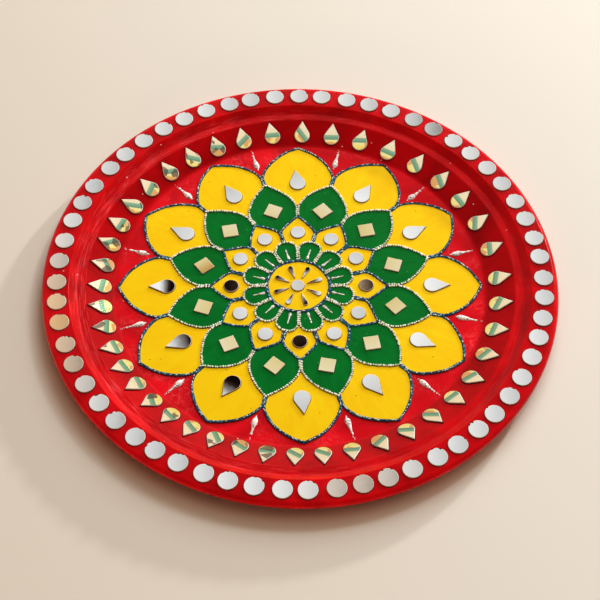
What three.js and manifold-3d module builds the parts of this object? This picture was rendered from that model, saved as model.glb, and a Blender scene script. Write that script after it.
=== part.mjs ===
// Hand-painted mirror-work plate: a pressed round blank with a rolled rim, a painted flower
// of four petal rings, raised outlines round every petal, and glued craft mirrors.
// Millimetres, +Z up. The origin is the centre of the flat base that the plate stands on.
import * as THREE from 'three';
import { mergeVertices } from 'three/addons/utils/BufferGeometryUtils.js';
import Module from 'manifold-3d';

// Pressed blank, sizes on its upper face
const RIM_RADIUS = 130.5;
const SHEET = 1.0;
const FLOOR_RADIUS = 94;
const MARGIN_WIDTH = 15;
const MARGIN_RISE = 5.3;
const LEDGE_WIDTH = 4;
const WALL_WIDTH = 3.9;
const WALL_RISE = 2.8;
const ROLL_RADIUS = 2.5;
const ROLL_TURN = 225;
const ROLL_STEPS = 5;
const FLOOR_FILLET = 2;
const LEDGE_FILLET = 2;
const RIM_FILLET = 0.8;
const BLANK_FACETS = 48;

// Paint and raised outlines
const PAINT_FILM = 0.3;
const PAINT_SEAM = 0.3;
const OUTLINE_WIDTH = 1.3;
const OUTLINE_HEIGHT = 0.7;
const OUTLINE_PAIR_GAP = 0.4;

// The flower is painted 1.4 mm left of the plate's centre and comes true at the floor's edge
const FLOWER_SHIFT = -1.4;
const FLOWER_TURN = 2;
const PETALS = 12;

// Petal rings, from the disc outwards. Each starts at the tips of the ring inside it: band is how far
// its own tips stand beyond them, meetBeyond where neighbours meet, then come how wide the tip opens
// and how full the sides are. A ring with stagger 0.5 has its petals between those of the next ring
const DISC_RADIUS = 16;
const DISC_FACETS = 36;
const FLOWER_EDGE = 1.5;
const ROUND_PETAL = {
  inside: DISC_RADIUS,
  band: 12.6,
  meetBeyond: 5,
  opening: 90,
  tipPull: 4.3,
  sidePull: 4.5,
  stagger: 0.5,
  steps: 3,
};
const SMALL_PETAL = {
  inside: ROUND_PETAL.inside + ROUND_PETAL.band,
  band: 16.7,
  meetBeyond: 4.4,
  opening: 45,
  tipPull: 6,
  sidePull: 3.2,
  stagger: 0,
  steps: 3,
};
const GREEN_PETAL = {
  inside: SMALL_PETAL.inside + SMALL_PETAL.band,
  band: 23.3,
  meetBeyond: 2.7,
  opening: 55,
  tipPull: 12,
  sidePull: 5,
  stagger: 0.5,
  steps: 4,
};
const OUTER_PETAL_INSIDE = GREEN_PETAL.inside + GREEN_PETAL.band;
const OUTER_PETAL = {
  inside: OUTER_PETAL_INSIDE,
  band: FLOOR_RADIUS - FLOWER_EDGE - OUTER_PETAL_INSIDE,
  meetBeyond: 1.9,
  opening: 62,
  tipPull: 15.5,
  sidePull: 4,
  stagger: 0,
  steps: 5,
};
const PETAL_ROOT = 6;

// Glued mirrors
const GLASS = 1.1;
const ADHESIVE = 0.2;
const SEAT_CLEARANCE = 0.3;
const RIM_MIRROR = { count: 60, diameter: 10, outward: 0.5, turn: 2.2 };
const MARGIN_DROP = { count: 43, width: 8.6, length: 13, fromFloor: 6.4, turn: 5 };
const PETAL_DROP = { width: 8.8, length: 14, beyondInside: -1 };
const GREEN_SQUARE = { side: 8, beyondInside: 5, turn: 55 };
const SMALL_ROUND = { diameter: 7.8, beyondInside: 5.8 };
const CENTRE_ROUND_DIAMETER = 7.1;
const SLIVER = { count: 8, width: 2.6, length: 8.2, fromCentreRound: 1.15, turn: 20.5 };
const ROUND_FACETS = 12;
const DROP_ARC_STEPS = 7;
const BAND_WIDTH = 3;

// The margin drops are spaced by eye, up to this share wider round one direction, in degrees
const DROP_SPACING = { extra: 0.42, widestAt: 20, spread: 28 };

const FLOOR_TOP = SHEET;
const LEDGE_TOP = FLOOR_TOP + MARGIN_RISE;
const RIM_TOP = LEDGE_TOP + WALL_RISE;
const PAINT_TOP = FLOOR_TOP + PAINT_FILM;
const MARGIN_RADIUS = FLOOR_RADIUS + MARGIN_WIDTH;
const LEDGE_RADIUS = MARGIN_RADIUS + LEDGE_WIDTH;
const RIM_INNER_RADIUS = LEDGE_RADIUS + WALL_WIDTH;
const ROLL_START_RADIUS = RIM_RADIUS - ROLL_RADIUS;
const RIM_MIRROR_RADIUS = (RIM_INNER_RADIUS + ROLL_START_RADIUS) / 2 + RIM_MIRROR.outward;
const MARGIN_SLOPE = Math.atan2(MARGIN_RISE, MARGIN_WIDTH);
const HALF_PITCH = Math.PI / PETALS;
const CHIP = ADHESIVE + GLASS;

const degrees = THREE.MathUtils.degToRad;
const wasm = await Module();
wasm.setup();
const plate = new THREE.Group();

const redEnamel = new THREE.MeshStandardMaterial({ color: '#c8101c', roughness: 0.3, metalness: 0.1 });
const yellowPaint = new THREE.MeshStandardMaterial({ color: '#f6c81c', roughness: 0.45 });
const greenPaint = new THREE.MeshStandardMaterial({ color: '#07662a', roughness: 0.45 });
const blueGlitter = new THREE.MeshStandardMaterial({ color: '#1f4f7a', roughness: 0.35 });
const silverGlitter = new THREE.MeshStandardMaterial({ color: '#d9dcd6', roughness: 0.35 });
const silverMirror = new THREE.MeshStandardMaterial({ color: '#dadcde', roughness: 0.05, metalness: 1 });
const goldMirror = new THREE.MeshStandardMaterial({ color: '#e6dcaa', roughness: 0.1, metalness: 1 });
const foilDrop = new THREE.MeshStandardMaterial({ color: '#cfd29c', roughness: 0.15, metalness: 0.8 });

// Closed mesh to solid and back, for the joins and cuts

function solid(geometry) {
  const bare = geometry.clone();
  bare.deleteAttribute('normal');
  bare.deleteAttribute('uv');
  const merged = mergeVertices(bare, 1e-4);
  const vertProperties = new Float32Array(merged.attributes.position.array);
  const triVerts = new Uint32Array(merged.index.array);
  return new wasm.Manifold(new wasm.Mesh({ numProp: 3, vertProperties, triVerts }));
}

function geometryOf(body) {
  const mesh = body.getMesh();
  const geometry = new THREE.BufferGeometry();
  const positions = new Float32Array(mesh.numVert * 3);
  for (let vertex = 0; vertex < mesh.numVert; vertex += 1) {
    for (let axis = 0; axis < 3; axis += 1) {
      positions[vertex * 3 + axis] = mesh.vertProperties[vertex * mesh.numProp + axis];
    }
  }
  geometry.setAttribute('position', new THREE.BufferAttribute(positions, 3));
  geometry.setIndex(new THREE.BufferAttribute(new Uint32Array(mesh.triVerts), 1));
  geometry.computeVertexNormals();
  return geometry;
}

function joined(bodies) {
  return bodies.reduce((whole, body) => whole.add(body));
}

function add(name, geometry, material) {
  const mesh = new THREE.Mesh(geometry, material);
  mesh.name = name;
  plate.add(mesh);
  return mesh;
}

function slab(outline, bottom, thickness) {
  const geometry = new THREE.ExtrudeGeometry(new THREE.Shape(outline), {
    depth: thickness,
    bevelEnabled: false,
    steps: 1,
  });
  return geometry.translate(0, 0, bottom);
}

function circle(radius, facets) {
  const points = [];
  for (let facet = 0; facet < facets; facet += 1) {
    const angle = (facet * 2 * Math.PI) / facets;
    points.push(new THREE.Vector2(radius * Math.cos(angle), radius * Math.sin(angle)));
  }
  return points;
}

function numbered(name, index) {
  return `${name}_${String(index + 1).padStart(2, '0')}`;
}

// Pressed blank

// The two points where a bend of this radius would leave its straight sides
function easedCorner(before, corner, after, radius) {
  const into = corner.clone().sub(before).normalize();
  const out = after.clone().sub(corner).normalize();
  const bend = Math.acos(THREE.MathUtils.clamp(into.dot(out), -1, 1));
  const reach = radius * Math.tan(bend / 2);
  const start = corner.clone().addScaledVector(into, -reach);
  const end = corner.clone().addScaledVector(out, reach);
  return [start, end];
}

function upperFace() {
  const corners = [
    new THREE.Vector2(0, FLOOR_TOP),
    new THREE.Vector2(FLOOR_RADIUS, FLOOR_TOP),
    new THREE.Vector2(MARGIN_RADIUS, LEDGE_TOP),
    new THREE.Vector2(LEDGE_RADIUS, LEDGE_TOP),
    new THREE.Vector2(RIM_INNER_RADIUS, RIM_TOP),
    new THREE.Vector2(ROLL_START_RADIUS, RIM_TOP),
  ];
  const fillets = [FLOOR_FILLET, LEDGE_FILLET, LEDGE_FILLET, RIM_FILLET];
  const points = [corners[0]];
  fillets.forEach((radius, i) => {
    points.push(...easedCorner(corners[i], corners[i + 1], corners[i + 2], radius));
  });
  for (let step = 0; step <= ROLL_STEPS; step += 1) {
    const angle = degrees(90 - (ROLL_TURN * step) / ROLL_STEPS);
    points.push(
      new THREE.Vector2(
        ROLL_START_RADIUS + ROLL_RADIUS * Math.cos(angle),
        RIM_TOP - ROLL_RADIUS + ROLL_RADIUS * Math.sin(angle),
      ),
    );
  }
  return points;
}

// The under face lies one sheet thickness below the upper face, measured square to it
function underFace(upper) {
  return upper.map((point, i) => {
    const before = upper[Math.max(i - 1, 0)];
    const after = upper[Math.min(i + 1, upper.length - 1)];
    const into = i > 0 ? point.clone().sub(before).normalize() : new THREE.Vector2(1, 0);
    const out = i < upper.length - 1 ? after.clone().sub(point).normalize() : into;
    const along = into.clone().add(out).normalize();
    const stretch = 1 / Math.max(along.dot(into), 0.5);
    return new THREE.Vector2(point.x + along.y * SHEET * stretch, point.y - along.x * SHEET * stretch);
  });
}

function blank() {
  const upper = upperFace();
  const under = underFace(upper);
  const profile = [...under, ...upper.reverse()];
  return new THREE.LatheGeometry(profile, BLANK_FACETS).rotateX(Math.PI / 2);
}

// Painted flower

// A point of the flower, moved with the off-centre painting, which fades out to the floor's edge
function onFlower(x, y) {
  const fade = 1 - Math.min(Math.hypot(x, y) / FLOOR_RADIUS, 1);
  return new THREE.Vector2(x + FLOWER_SHIFT * fade, y);
}

function petalAngle(ring, index) {
  return degrees(90 + FLOWER_TURN) + (index + ring.stagger) * 2 * HALF_PITCH;
}

// Half a petal from root to tip, along the petal's own axis, with the edge moved out by grow
function petalSide(ring, grow) {
  const edge = new THREE.Vector2(Math.cos(HALF_PITCH), Math.sin(HALF_PITCH));
  const inset = new THREE.Vector2(edge.y, -edge.x).multiplyScalar(OUTLINE_PAIR_GAP / 2);
  const meet = edge.clone().multiplyScalar((ring.inside + ring.meetBeyond) / edge.x).add(inset);
  const root = edge.clone().multiplyScalar(PETAL_ROOT).add(inset);
  const tip = new THREE.Vector2(ring.inside + ring.band, 0);
  const opening = degrees(ring.opening);
  const tipHandle = new THREE.Vector2(-Math.cos(opening), Math.sin(opening)).multiplyScalar(ring.tipPull);
  const curve = new THREE.CubicBezierCurve(
    meet,
    meet.clone().addScaledVector(edge, ring.sidePull),
    tip.clone().add(tipHandle),
    tip,
  );
  const side = [root, ...curve.getPoints(ring.steps)];
  return side.map((point, i) => {
    const before = side[Math.max(i - 1, 0)];
    const after = i < side.length - 1 ? side[i + 1] : new THREE.Vector2(before.x, -before.y);
    const into = i > 0 ? point.clone().sub(before).normalize() : after.clone().sub(point).normalize();
    const out = after.clone().sub(point).normalize();
    const along = into.add(out).normalize();
    const reach = grow / Math.max(along.dot(out), 0.4);
    return new THREE.Vector2(point.x - along.y * reach, point.y + along.x * reach);
  });
}

function petalOutline(ring, index, grow) {
  const side = petalSide(ring, grow);
  const mirrored = side.slice(0, -1).map((point) => new THREE.Vector2(point.x, -point.y));
  const angle = petalAngle(ring, index);
  const centre = new THREE.Vector2(0, 0);
  return [...mirrored, ...side.reverse()].map((point) => {
    const turned = point.clone().rotateAround(centre, angle);
    return onFlower(turned.x, turned.y);
  });
}

function petals(ring, grow, bottom, thickness) {
  const bodies = [];
  for (let index = 0; index < PETALS; index += 1) {
    bodies.push(solid(slab(petalOutline(ring, index, grow), bottom, thickness)));
  }
  return joined(bodies);
}

function disc(grow, bottom, thickness) {
  const edge = circle(DISC_RADIUS + grow, DISC_FACETS).map((point) => onFlower(point.x, point.y));
  return solid(slab(edge, bottom, thickness));
}

// The area of a ring's petals, or of the centre disc where no ring is named
function regionOf(ring, grow, bottom, thickness) {
  return ring ? petals(ring, grow, bottom, thickness) : disc(grow, bottom, thickness);
}

// What is cut away for the ring painted inside, down to the middle of the flower
function cutterOf(innerRing, bottom, thickness) {
  const grow = OUTLINE_WIDTH / 2 + PAINT_SEAM;
  return regionOf(innerRing, grow, bottom, thickness).add(disc(grow, bottom, thickness));
}

// Paint of one ring: its petals out to the outline's outer edge, less the ring painted inside it
function paint(ring, innerRing) {
  const inside = cutterOf(innerRing, FLOOR_TOP - PAINT_FILM, 3 * PAINT_FILM);
  return regionOf(ring, OUTLINE_WIDTH / 2, FLOOR_TOP, PAINT_FILM).subtract(inside);
}

// Raised outline of one ring: the line round its petals and the shared line between neighbours
function outline(ring, innerRing) {
  const half = OUTLINE_WIDTH / 2;
  const below = PAINT_TOP - OUTLINE_HEIGHT;
  const cutDepth = 3 * OUTLINE_HEIGHT;
  const line = regionOf(ring, half, PAINT_TOP, OUTLINE_HEIGHT);
  const hole = regionOf(ring, -half, below, cutDepth);
  return line.subtract(hole).subtract(cutterOf(innerRing, below, cutDepth));
}

// Glued mirrors

function roundOutline(diameter) {
  return circle(diameter / 2, ROUND_FACETS);
}

function squareOutline(side) {
  const half = side / 2;
  return [
    new THREE.Vector2(-half, -half),
    new THREE.Vector2(half, -half),
    new THREE.Vector2(half, half),
    new THREE.Vector2(-half, half),
  ];
}

// A drop with its round end at the origin and its point along +X
function dropOutline(width, length) {
  const radius = width / 2;
  const point = length - radius;
  const tangent = Math.acos(radius / point);
  const points = [new THREE.Vector2(point, 0)];
  for (let step = 0; step <= DROP_ARC_STEPS; step += 1) {
    const angle = tangent + ((2 * Math.PI - 2 * tangent) * step) / DROP_ARC_STEPS;
    points.push(new THREE.Vector2(radius * Math.cos(angle), radius * Math.sin(angle)));
  }
  return points;
}

function placeOnFlower(mesh, radius, angle) {
  const place = onFlower(radius * Math.cos(angle), radius * Math.sin(angle));
  mesh.position.set(place.x, place.y, PAINT_TOP);
  mesh.rotation.z = angle;
}

function rimMirrors() {
  const band = [
    new THREE.Vector2(RIM_MIRROR_RADIUS - BAND_WIDTH / 2, 0),
    new THREE.Vector2(RIM_MIRROR_RADIUS + BAND_WIDTH / 2, 0),
    new THREE.Vector2(RIM_MIRROR_RADIUS + BAND_WIDTH / 2, ADHESIVE),
    new THREE.Vector2(RIM_MIRROR_RADIUS - BAND_WIDTH / 2, ADHESIVE),
    new THREE.Vector2(RIM_MIRROR_RADIUS - BAND_WIDTH / 2, 0),
  ];
  const bodies = [solid(new THREE.LatheGeometry(band, RIM_MIRROR.count).rotateX(Math.PI / 2))];
  for (let index = 0; index < RIM_MIRROR.count; index += 1) {
    const angle = degrees(RIM_MIRROR.turn + (index * 360) / RIM_MIRROR.count);
    const mirror = slab(roundOutline(RIM_MIRROR.diameter), 0, CHIP);
    mirror.rotateZ(angle);
    mirror.translate(RIM_MIRROR_RADIUS * Math.cos(angle), RIM_MIRROR_RADIUS * Math.sin(angle), 0);
    bodies.push(solid(mirror));
  }
  return geometryOf(joined(bodies).translate([0, 0, RIM_TOP]));
}

// Each gap between drops is weighed by how near it is to the widest one, then all fill the circle
function marginDropAngles() {
  const gaps = [];
  for (let index = 0; index < MARGIN_DROP.count; index += 1) {
    const even = MARGIN_DROP.turn + (index * 360) / MARGIN_DROP.count;
    const away = ((even - DROP_SPACING.widestAt + 540) % 360) - 180;
    gaps.push(1 + DROP_SPACING.extra * Math.exp(-((away / DROP_SPACING.spread) ** 2)));
  }
  const total = gaps.reduce((sum, gap) => sum + gap);
  let turned = 0;
  return gaps.map((gap) => {
    const place = degrees(MARGIN_DROP.turn + (turned * 360) / total);
    turned += gap;
    return place;
  });
}

// Height and radius of a point above the margin's slope, from the floor's edge outwards
function onMargin(along, above) {
  return new THREE.Vector2(
    FLOOR_RADIUS + along * Math.cos(MARGIN_SLOPE) - above * Math.sin(MARGIN_SLOPE),
    FLOOR_TOP + along * Math.sin(MARGIN_SLOPE) + above * Math.cos(MARGIN_SLOPE),
  );
}

function marginDrops() {
  const inner = MARGIN_DROP.fromFloor - BAND_WIDTH / 2;
  const outer = MARGIN_DROP.fromFloor + BAND_WIDTH / 2;
  const band = [
    onMargin(inner, SEAT_CLEARANCE),
    onMargin(outer, SEAT_CLEARANCE),
    onMargin(outer, SEAT_CLEARANCE + 2 * ADHESIVE),
    onMargin(inner, SEAT_CLEARANCE + 2 * ADHESIVE),
    onMargin(inner, SEAT_CLEARANCE),
  ];
  const bodies = [solid(new THREE.LatheGeometry(band, MARGIN_DROP.count).rotateX(Math.PI / 2))];
  const seat = onMargin(MARGIN_DROP.fromFloor, SEAT_CLEARANCE);
  marginDropAngles().forEach((angle) => {
    const drop = slab(dropOutline(MARGIN_DROP.width, MARGIN_DROP.length), 0, CHIP);
    drop.rotateY(-MARGIN_SLOPE);
    drop.translate(seat.x, 0, seat.y);
    drop.rotateZ(angle);
    bodies.push(solid(drop));
  });
  return geometryOf(joined(bodies));
}

// Assembly

add('plate_blank', blank(), redEnamel);

add('outer_petal_paint', geometryOf(paint(OUTER_PETAL, GREEN_PETAL)), yellowPaint);
add('green_petal_paint', geometryOf(paint(GREEN_PETAL, SMALL_PETAL)), greenPaint);
add('small_petal_paint', geometryOf(paint(SMALL_PETAL, ROUND_PETAL)), yellowPaint);
add('small_green_petal_paint', geometryOf(paint(ROUND_PETAL, null)), greenPaint);
add('centre_disc_paint', geometryOf(disc(OUTLINE_WIDTH / 2, FLOOR_TOP, PAINT_FILM)), yellowPaint);

add('outer_petal_outline', geometryOf(outline(OUTER_PETAL, GREEN_PETAL)), blueGlitter);
add('green_petal_outline', geometryOf(outline(GREEN_PETAL, SMALL_PETAL)), silverGlitter);
add('small_petal_outline', geometryOf(outline(SMALL_PETAL, ROUND_PETAL)), blueGlitter);
add('small_green_petal_outline', geometryOf(outline(ROUND_PETAL, null)), silverGlitter);
const discLine = disc(OUTLINE_WIDTH / 2, PAINT_TOP, OUTLINE_HEIGHT);
const discHole = disc(-OUTLINE_WIDTH / 2, PAINT_TOP - OUTLINE_HEIGHT, 3 * OUTLINE_HEIGHT);
add('centre_disc_outline', geometryOf(discLine.subtract(discHole)), blueGlitter);

add('rim_mirror_ring', rimMirrors(), silverMirror);
add('margin_drop_ring', marginDrops(), foilDrop);

for (let index = 0; index < PETALS; index += 1) {
  const dropShape = slab(dropOutline(PETAL_DROP.width, PETAL_DROP.length), 0, CHIP);
  const drop = add(numbered('petal_drop', index), dropShape, silverMirror);
  placeOnFlower(drop, OUTER_PETAL.inside + PETAL_DROP.beyondInside, petalAngle(OUTER_PETAL, index));

  const squareShape = slab(squareOutline(GREEN_SQUARE.side), 0, CHIP);
  const square = add(numbered('green_petal_square', index), squareShape, goldMirror);
  placeOnFlower(square, GREEN_PETAL.inside + GREEN_SQUARE.beyondInside, petalAngle(GREEN_PETAL, index));
  square.rotation.z += degrees(GREEN_SQUARE.turn);

  const roundShape = slab(roundOutline(SMALL_ROUND.diameter), 0, CHIP);
  const round = add(numbered('small_petal_round', index), roundShape, silverMirror);
  placeOnFlower(round, SMALL_PETAL.inside + SMALL_ROUND.beyondInside, petalAngle(SMALL_PETAL, index));
}

const centreRound = slab(roundOutline(CENTRE_ROUND_DIAMETER), 0, CHIP);
placeOnFlower(add('centre_round', centreRound, silverMirror), 0, 0);
const sliverPoint = CENTRE_ROUND_DIAMETER / 2 + SLIVER.fromCentreRound;
const sliverRadius = sliverPoint + SLIVER.length - SLIVER.width / 2;
for (let index = 0; index < SLIVER.count; index += 1) {
  const sliverShape = slab(dropOutline(SLIVER.width, SLIVER.length), 0, CHIP);
  const sliver = add(numbered('centre_sliver', index), sliverShape, silverMirror);
  const angle = degrees(SLIVER.turn + (index * 360) / SLIVER.count);
  placeOnFlower(sliver, sliverRadius, angle);
  sliver.rotation.z = angle + Math.PI;
}

export default plate;
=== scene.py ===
# Hand-painted mirror-work plate: a pressed and lacquered metal blank with a rolled rim, a painted
# flower of four petal rings, raised glitter outlines, and craft mirrors glued on floor, margin and rim.
# Metres, +Z up, with the origin at the centre of the flat base.
import math
import random

import bpy
from mathutils import Euler, Matrix, Vector, geometry, noise


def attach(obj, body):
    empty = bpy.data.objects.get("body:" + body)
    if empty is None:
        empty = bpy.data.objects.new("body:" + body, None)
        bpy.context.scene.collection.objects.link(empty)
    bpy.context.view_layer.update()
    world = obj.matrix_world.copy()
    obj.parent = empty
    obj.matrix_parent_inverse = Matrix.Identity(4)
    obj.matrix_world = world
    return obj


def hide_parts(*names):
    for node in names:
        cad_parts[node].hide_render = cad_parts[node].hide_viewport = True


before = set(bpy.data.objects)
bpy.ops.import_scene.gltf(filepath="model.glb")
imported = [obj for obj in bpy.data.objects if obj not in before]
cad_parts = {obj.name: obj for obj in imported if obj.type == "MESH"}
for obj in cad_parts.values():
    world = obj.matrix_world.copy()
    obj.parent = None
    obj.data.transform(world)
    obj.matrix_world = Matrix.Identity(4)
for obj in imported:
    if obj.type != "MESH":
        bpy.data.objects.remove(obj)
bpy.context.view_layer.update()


# Pressed blank: one disc of mild steel about 1 mm thick, pressed with a sloped margin, a ledge and
# a flat rim, its edge rolled under. It is sprayed with red lacquer, and the floor is brushed over
# with a brighter red poster paint before the flower goes on.
MM = 0.001
FLOOR_RADIUS = 94 * MM
FLOOR_TOP = 1.0 * MM
LEDGE_START = 109 * MM
LEDGE_END = 113 * MM
LEDGE_TOP = 6.3 * MM
RIM_START = 116.9 * MM
RIM_TOP = 9.1 * MM
BEND_RADII = [5 * MM, 2.5 * MM, 1.8 * MM, 1.0 * MM]
SHEET = 1.0 * MM
ROLL_CENTRE_RADIUS = 128 * MM
ROLL_RADIUS = 2.5 * MM
ROLL_TURN = math.radians(225)
ROLL_STEPS = 18
BEND_STEPS = 6
BLANK_FACETS = 240
BLANK_SMOOTH = math.radians(35)


def pick(*objects):
    """Selects only these objects, and makes the first one active."""
    bpy.ops.object.select_all(action="DESELECT")
    for each in objects:
        each.select_set(True)
    bpy.context.view_layer.objects.active = objects[0]


def named(name):
    """Gives the active object and its mesh this name."""
    piece = bpy.context.object
    piece.name = name
    piece.data.name = name
    return piece


def bend(before, corner, after, radius):
    """Points of the arc that eases a pressed corner of the profile."""
    into = (corner - before).normalized()
    out = (after - corner).normalized()
    angle = into.angle(out)
    reach = radius * math.tan(angle / 2)
    handle = radius * 4 / 3 * math.tan(angle / 4)
    start = corner - into * reach
    end = corner + out * reach
    return geometry.interpolate_bezier(start, start + into * handle, end - out * handle, end, BEND_STEPS)


corners = [
    Vector((0, FLOOR_TOP)),
    Vector((FLOOR_RADIUS, FLOOR_TOP)),
    Vector((LEDGE_START, LEDGE_TOP)),
    Vector((LEDGE_END, LEDGE_TOP)),
    Vector((RIM_START, RIM_TOP)),
    Vector((ROLL_CENTRE_RADIUS, RIM_TOP)),
]
profile = []
for i, radius in enumerate(BEND_RADII):
    profile += bend(corners[i], corners[i + 1], corners[i + 2], radius)
for step in range(ROLL_STEPS + 1):
    turn = math.pi / 2 - ROLL_TURN * step / ROLL_STEPS
    reach = ROLL_CENTRE_RADIUS + ROLL_RADIUS * math.cos(turn)
    profile.append(Vector((reach, RIM_TOP - ROLL_RADIUS + ROLL_RADIUS * math.sin(turn))))

bpy.ops.object.select_all(action="DESELECT")
bpy.ops.mesh.primitive_circle_add(
    vertices=BLANK_FACETS, radius=profile[0].x, fill_type="NGON", location=(0, 0, profile[0].y)
)
blank = named("pressed_blank")
bpy.ops.object.transform_apply(location=True, rotation=False, scale=False)
bpy.ops.object.mode_set(mode="EDIT")
bpy.ops.mesh.select_mode(type="EDGE")
bpy.ops.mesh.select_all(action="SELECT")
bpy.ops.mesh.region_to_loop()
for before, after in zip(profile, profile[1:]):
    lift = after.y - before.y
    widen = after.x / before.x
    bpy.ops.mesh.extrude_edges_move(TRANSFORM_OT_translate={"value": (0, 0, lift)})
    bpy.ops.transform.resize(value=(widen, widen, 1), center_override=(0, 0, after.y))
bpy.ops.mesh.select_all(action="SELECT")
bpy.ops.mesh.normals_make_consistent(inside=False)
bpy.ops.object.mode_set(mode="OBJECT")
if blank.data.polygons[0].normal.z < 0:
    blank.data.flip_normals()
wall = blank.modifiers.new("sheet", "SOLIDIFY")
wall.thickness = SHEET
wall.offset = -1
wall.use_even_offset = True
bpy.ops.object.modifier_apply(modifier=wall.name)
bpy.ops.object.shade_smooth_by_angle(angle=BLANK_SMOOTH)


def colour(code):
    """Linear colour of an sRGB hex code, as a socket takes it."""
    channels = []
    for start in (0, 2, 4):
        part = int(code[start : start + 2], 16) / 255
        channels.append(part / 12.92 if part <= 0.04045 else ((part + 0.055) / 1.055) ** 2.4)
    return (*channels, 1)


def add_node(tree, kind, inputs=None, **settings):
    """Adds a node with its settings, its fixed inputs and its links."""
    made = tree.nodes.new(kind)
    for name, value in settings.items():
        setattr(made, name, value)
    for socket, value in (inputs or {}).items():
        if isinstance(value, bpy.types.Node):
            value = value.outputs[0]
        if isinstance(value, bpy.types.NodeSocket):
            tree.links.new(value, made.inputs[socket])
        else:
            made.inputs[socket].default_value = value
    return made


def finish_named(name):
    """A new material with an empty node tree."""
    made = bpy.data.materials.new(name)
    made.use_nodes = True
    made.node_tree.nodes.clear()
    return made, made.node_tree


def set_ramp(ramp, stops, interpolation="LINEAR"):
    """Fills a colour ramp with (place, colour) stops."""
    ramp.color_ramp.interpolation = interpolation
    while len(ramp.color_ramp.elements) > 1:
        ramp.color_ramp.elements.remove(ramp.color_ramp.elements[0])
    ramp.color_ramp.elements[0].position = stops[0][0]
    ramp.color_ramp.elements[0].color = stops[0][1]
    for place, shade in stops[1:]:
        ramp.color_ramp.elements.new(place).color = shade


def plate_places(tree):
    """Place, its parts, its radius, and angle with radius, for patterns that run round the plate."""
    place = add_node(tree, "ShaderNodeTexCoord").outputs["Object"]
    parts = add_node(tree, "ShaderNodeSeparateXYZ", {0: place}).outputs
    around = add_node(tree, "ShaderNodeMath", {0: parts["Y"], 1: parts["X"]}, operation="ARCTAN2")
    flat = add_node(tree, "ShaderNodeVectorMath", {0: place, 1: (1, 1, 0)}, operation="MULTIPLY")
    length = add_node(tree, "ShaderNodeVectorMath", {0: flat}, operation="LENGTH")
    radius = length.outputs["Value"]
    ring_place = add_node(tree, "ShaderNodeCombineXYZ", {"X": around, "Y": radius})
    return place, parts, radius, ring_place


# Sprayed and brushed lacquer: the spray coat is smooth. Its red by radius is partly painted light: the
# margin is painted darker as shade, and the ledge and the outer lip lighter as highlight. Thin pale
# lines round the wall and the ledge, strongest at the left, are painted highlights with a slight
# relief. The floor is brushed over with a brighter red, which leaves pale dry strokes and a few white
# spatters. The coat is tinted, so what it reflects is red as well. Scales are per radian and per metre:
# a bristle mark every 4 mm, a painted highlight line every 0.7 mm, dry patches of 22 mm, clouds of
# 30 mm and a spatter every 10 mm
BRISTLE_MARKS = (26, 260, 1)
HIGHLIGHT_LINES = (9, 1500, 1)
DRY_PATCHES = 46.0
CLOUDS = 34.0
SPATTERS = 105.0
BRUSHED_FROM, BRUSHED_TO = 95.2 * MM, 92.5 * MM
STEP_FROM, STEP_TO = 108.2 * MM, 109.6 * MM
WALL_FROM, WALL_TO = 117.5 * MM, 112.5 * MM
# The painted highlight lines run from a fifth of their strength at the right to full at the left
HIGHLIGHT_FROM_X, HIGHLIGHT_FULL_X = 60 * MM, -90 * MM
OUTER_RADIUS = ROLL_CENTRE_RADIUS + ROLL_RADIUS
lacquer, tree = finish_named("red_lacquer_sprayed_and_brushed")
place, parts, radius, ring_place = plate_places(tree)
share = add_node(tree, "ShaderNodeMath", {0: radius, 1: OUTER_RADIUS}, operation="DIVIDE")
# Red by radius for floor, margin, ledge, wall, rim and lip: the floor is the brighter poster paint, the
# margin is painted darker as shade, and the ledge and lip are painted lighter as highlight
red_and_painted_light_zones = add_node(tree, "ShaderNodeValToRGB", {0: share})
set_ramp(
    red_and_painted_light_zones,
    [
        (0.0, colour("da0d1c")),
        (0.712, colour("da0d1c")),
        (0.735, colour("aa0208")),
        (0.828, colour("b00209")),
        (0.842, colour("cc070f")),
        (0.866, colour("c60610")),
        (0.876, colour("be030a")),
        (0.9, colour("cc040b")),
        (0.91, colour("c60814")),
        (0.975, colour("c0060f")),
        (0.99, colour("da0a16")),
    ],
)
across = add_node(tree, "ShaderNodeMapping", {0: ring_place, "Scale": BRISTLE_MARKS})
dry_strokes = add_node(
    tree,
    "ShaderNodeTexNoise",
    {"Vector": across, "Scale": 1.0, "Detail": 4.0, "Roughness": 0.6, "Distortion": 2.2},
)
patches = add_node(tree, "ShaderNodeTexNoise", {"Vector": place, "Scale": DRY_PATCHES, "Detail": 1.0})
on_floor = add_node(tree, "ShaderNodeMapRange", {0: radius, 1: BRUSHED_FROM, 2: BRUSHED_TO})
patch_part = add_node(tree, "ShaderNodeMapRange", {0: patches, 1: 0.48, 2: 0.62})
streak_part = add_node(tree, "ShaderNodeMapRange", {0: dry_strokes, 1: 0.46, 2: 0.7, 4: 0.5})
in_patch = add_node(tree, "ShaderNodeMath", {0: patch_part, 1: streak_part}, operation="MULTIPLY")
stroke_share = add_node(tree, "ShaderNodeMath", {0: in_patch, 1: on_floor}, operation="MULTIPLY")
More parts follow.
